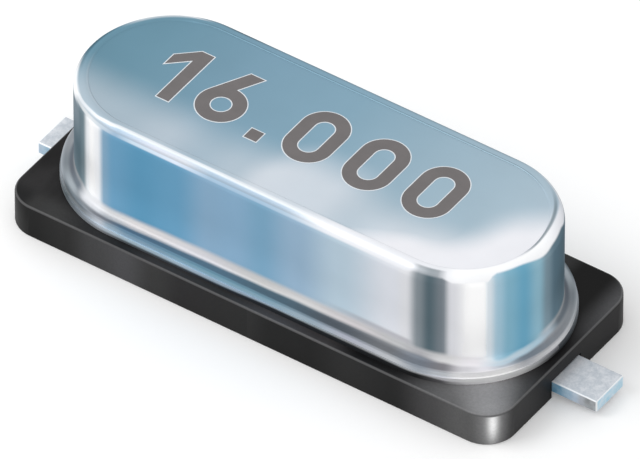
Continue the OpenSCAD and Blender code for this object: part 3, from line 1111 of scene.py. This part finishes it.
def make_marking(name, height, spread, material):
    """Plain digits on the sunk panel, spread outwards by this much all round: print, or its highlight
    ring.
    """
    panel = can_high.z - PANEL_DROP
    total = sum(digit_outlines(digit)[1] + DIGIT_GAP for digit in MARKING) - DIGIT_GAP
    curve = bpy.data.curves.new(name, "CURVE")
    curve.dimensions = "2D"
    curve.fill_mode = "BOTH"
    curve.extrude = height / 2
    curve.offset = spread
    left = -total / 2
    for digit in MARKING:
        outlines, width = digit_outlines(digit)
        for outline in outlines:
            spline = curve.splines.new("POLY")
            spline.points.add(len(outline) - 1)
            for point, (x, y) in zip(spline.points, outline):
                point.co = (left + x, y - DIGIT_HEIGHT / 2, 0, 1)
            spline.use_cyclic_u = True
        left += width + DIGIT_GAP
    drawn = add_object("work", curve)
    mesh = evaluated_mesh(drawn)
    bpy.data.objects.remove(drawn)
    mesh.transform(Matrix.Translation((MARKING_X, MARKING_Y, panel + height / 2)))
    finish_piece(name, mesh, material, "can_metal")


def dress_inner_nodes():
    """Finishes of the pieces inside the can, whose solids are shown as they are."""
    seal = clear_look("seal_glass", "#2f5d50", 0.12, 0.55, 1.52)
    spring = steel_look("spring_metal", "#d8bd7c", "#c3a45e", 0.3)
    quartz = clear_look("quartz", "#eef6f8", 0.18, 0.8, 1.54)
    film = steel_look("silver_film", "#e4e6e8", "#cfd3d6", 0.16)
    adhesive = steel_look("conductive_adhesive", "#9b9da2", "#7c7f85", 0.5)
    looks = {"glass_seal": seal, "clip": spring, "quartz_blank": quartz,
             "electrode": film, "adhesive": adhesive}
    for name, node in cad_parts.items():
        for start, material in looks.items():
            if name.startswith(start):
                node.data.materials.clear()
                node.data.materials.append(material)


# -------- studio

CAMERA_AZIMUTH = 34.7
CAMERA_ELEVATION = 42.1
CAMERA_DISTANCE = 400 * MM
VIEW_WIDTH = 12.17 * MM
AIM_RIGHT = 0.033 * MM
AIM_UP = 0.745 * MM
KEY_PLACE = Vector((-35, -30, 55)) * MM
KEY_SIZE = 40 * MM
KEY_RADIANCE = 3.3
WORLD_FILL = 0.85
FLOOR_HALF = 600 * MM
FLOOR_GAP = 0.005 * MM
FLOOR_LIFT = 0.13


def make_world():
    """Plain white surroundings, a little dimmer as a source of diffuse light."""
    world = bpy.data.worlds.new("studio")
    bpy.context.scene.world = world
    world.use_nodes = True
    nodes = world.node_tree.nodes
    links = world.node_tree.links
    background = nodes["Background"]
    path = nodes.new("ShaderNodeLightPath")
    total = path.outputs["Is Camera Ray"]
    for name in ("Is Glossy Ray", "Is Transmission Ray"):
        add = nodes.new("ShaderNodeMath")
        add.operation = "ADD"
        add.use_clamp = True
        links.new(total, add.inputs[0])
        links.new(path.outputs[name], add.inputs[1])
        total = add.outputs[0]
    strength = nodes.new("ShaderNodeMapRange")
    strength.inputs["To Min"].default_value = WORLD_FILL
    strength.inputs["To Max"].default_value = 1.0
    links.new(total, strength.inputs["Value"])
    links.new(strength.outputs["Result"], background.inputs["Strength"])
    background.inputs["Color"].default_value = WHITE


def make_floor():
    """A plain pale floor just below the part, clear when seen from below."""
    look = Look("pale_floor")
    path = look.node("ShaderNodeLightPath")
    lift = look.product(path.outputs["Is Camera Ray"], FLOOR_LIFT)
    look.set(Base_Color=(0.9, 0.9, 0.9, 1.0), Roughness=0.9, Specular_IOR_Level=0.0,
             Emission_Color=WHITE, Emission_Strength=lift)
    below = look.node("ShaderNodeNewGeometry").outputs["Backfacing"]
    clear = look.node("ShaderNodeBsdfTransparent")
    mixed = look.node("ShaderNodeMixShader", {0: below, 1: look.shader.outputs[0],
                                              2: clear.outputs[0]})
    output = look.tree.nodes["Material Output"]
    look.tree.links.new(mixed.outputs[0], output.inputs["Surface"])
    mesh = bpy.data.meshes.new("floor")
    corners = [(x * FLOOR_HALF, y * FLOOR_HALF, cad_low.z - FLOOR_GAP)
               for x, y in ((-1, -1), (1, -1), (1, 1), (-1, 1))]
    mesh.from_pydata(corners, [], [(0, 1, 2, 3)])
    mesh.materials.append(look.material)
    floor = add_object("floor", mesh)


def add_softbox():
    """The one square softbox, turned to the part."""
    lamp = bpy.data.lights.new("key", "AREA")
    lamp.shape = "SQUARE"
    lamp.size = KEY_SIZE
    lamp.energy = KEY_RADIANCE * math.pi * KEY_SIZE ** 2
    box = add_object("key", lamp)
    box.location = KEY_PLACE
    box.rotation_euler = (-KEY_PLACE).to_track_quat("-Z", "Y").to_euler()


def make_camera():
    """A long lens at this bearing; the view is VIEW_WIDTH wide at the part."""
    a = math.radians(CAMERA_AZIMUTH)
    e = math.radians(CAMERA_ELEVATION)
    back = Vector((math.sin(a) * math.cos(e), -math.cos(a) * math.cos(e), math.sin(e)))
    right = Vector((math.cos(a), math.sin(a), 0))
    up = back.cross(right)
    data = bpy.data.cameras.new("camera")
    data.sensor_width = 36
    data.lens = data.sensor_width * CAMERA_DISTANCE / VIEW_WIDTH
    data.clip_start = CAMERA_DISTANCE / 100
    data.clip_end = CAMERA_DISTANCE * 10
    camera = add_object("camera", data)
    camera.location = right * AIM_RIGHT + up * AIM_UP + back * CAMERA_DISTANCE
    camera.rotation_euler = (-back).to_track_quat("-Z", "Y").to_euler()
    bpy.context.scene.camera = camera


# -------- build

make_camera()
make_world()
make_floor()
add_softbox()
bpy.context.scene.view_settings.view_transform = "Standard"

make_can(can_look())
make_header(header_look())
make_insulator(plastic_look())
lead_metal = lead_look()
make_lead("lead_foot_left", "lead_left", lead_metal)
make_lead("lead_foot_right", "lead_right", lead_metal)
# A pale ring spread round the digits: the painted highlight on their edges.
digit_highlight = ink_look("digit_highlight", "#eef1f4", "#c9d2d9")
make_marking("marking_highlight", INK / 2, PALE_EDGE, digit_highlight)
make_marking("marking_digits", INK, 0.0, ink_look("marking_ink", "#747070", "#656262"))
dress_inner_nodes()
